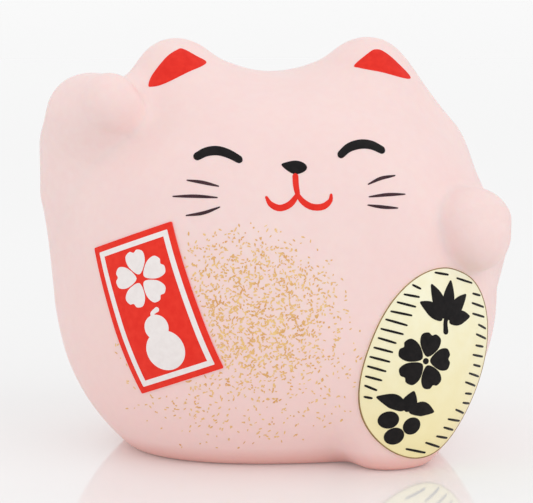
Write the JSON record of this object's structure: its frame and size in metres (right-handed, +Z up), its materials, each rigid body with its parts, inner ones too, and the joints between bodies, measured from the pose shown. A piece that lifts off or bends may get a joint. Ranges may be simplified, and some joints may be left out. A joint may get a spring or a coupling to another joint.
{
  "type": "beckoning cat figurine",
  "caption": "Round hollow ceramic cat coin bank with a raised paw, smiling face, oval token and plaque stickers, a coin slot in the back and a pull-out base stopper.",
  "frame": {"origin": "on the table, under the middle of the whole object's bounding box", "axes": "+Z up; the cat faces -Y; +X towards the cat's own left, the viewer's right from the front"},
  "size_m": [0.1178, 0.0984, 0.1032],
  "materials": {
    "pink_ceramic": "satin, softly mottled",
    "bare_ceramic": "unglazed, matte",
    "bung": "matte",
    "red_paint": "satin enamel",
    "black_paint": "satin enamel",
    "brown_paint": "satin enamel",
    "gold_foil": "pale gold foil with black print",
    "sticker_red": "satin print"
  },
  "bodies": {
    "cat": {"front_shell": "pink_ceramic", "back_shell": "pink_ceramic", "raised_arm": "pink_ceramic", "lowered_arm": "pink_ceramic", "tail": "pink_ceramic", "base_disc": "bare_ceramic", "ear_paint_right": "red_paint", "ear_paint_left": "red_paint", "mouth": "red_paint", "eye_right": "black_paint", "eye_left": "black_paint", "nose": "black_paint", "whisker_right_1": "brown_paint", "whisker_right_2": "brown_paint", "whisker_right_3": "brown_paint", "whisker_left_1": "brown_paint", "whisker_left_2": "brown_paint", "whisker_left_3": "brown_paint", "koban_foil": "gold_foil", "fortune_plaque": "sticker_red"},
    "stopper": {"stopper": "bung"}
  },
  "joints": [
    {"name": "stopper_pull", "type": "slide", "parent": "cat", "child": "stopper", "axis": [0, 0, -1], "range_m": [0, 0.012]}
  ]
}
